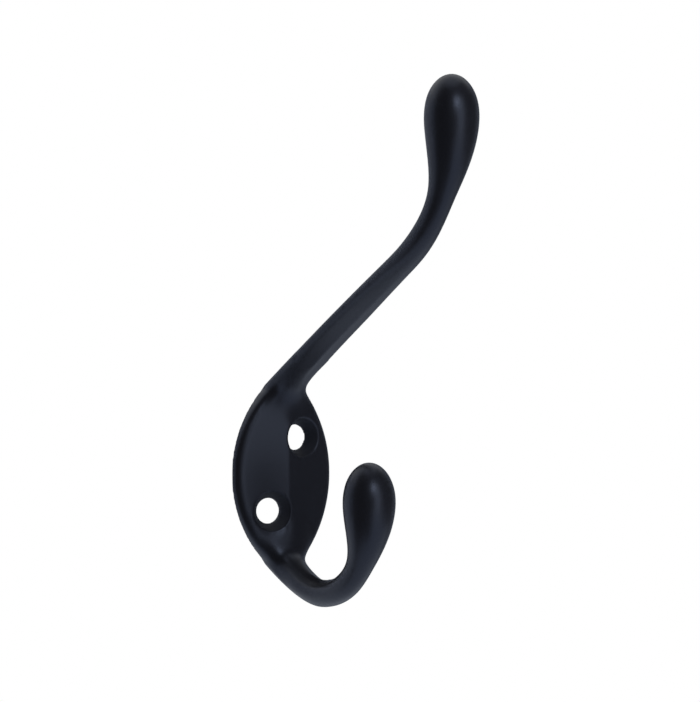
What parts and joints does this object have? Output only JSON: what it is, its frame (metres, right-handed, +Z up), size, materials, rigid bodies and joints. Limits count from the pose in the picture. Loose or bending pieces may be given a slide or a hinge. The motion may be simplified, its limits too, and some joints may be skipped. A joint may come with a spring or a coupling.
{
  "type": "wall hook",
  "caption": "Cast wall hook: leaf-shaped back plate with countersunk screw holes, a long upper arm and a short curled lower hook, each ending in a drop-shaped knob.",
  "frame": {"origin": "middle of the plate's flat back, in the wall's plane", "axes": "+Z up; +Y into the wall, so the hook reaches out along -Y; +X to the right seen from the front"},
  "size_m": [0.0236, 0.0701, 0.1059],
  "materials": {
    "black_paint": "satin"
  },
  "bodies": {
    "root": {"hook_casting": "black_paint"}
  },
  "joints": []
}
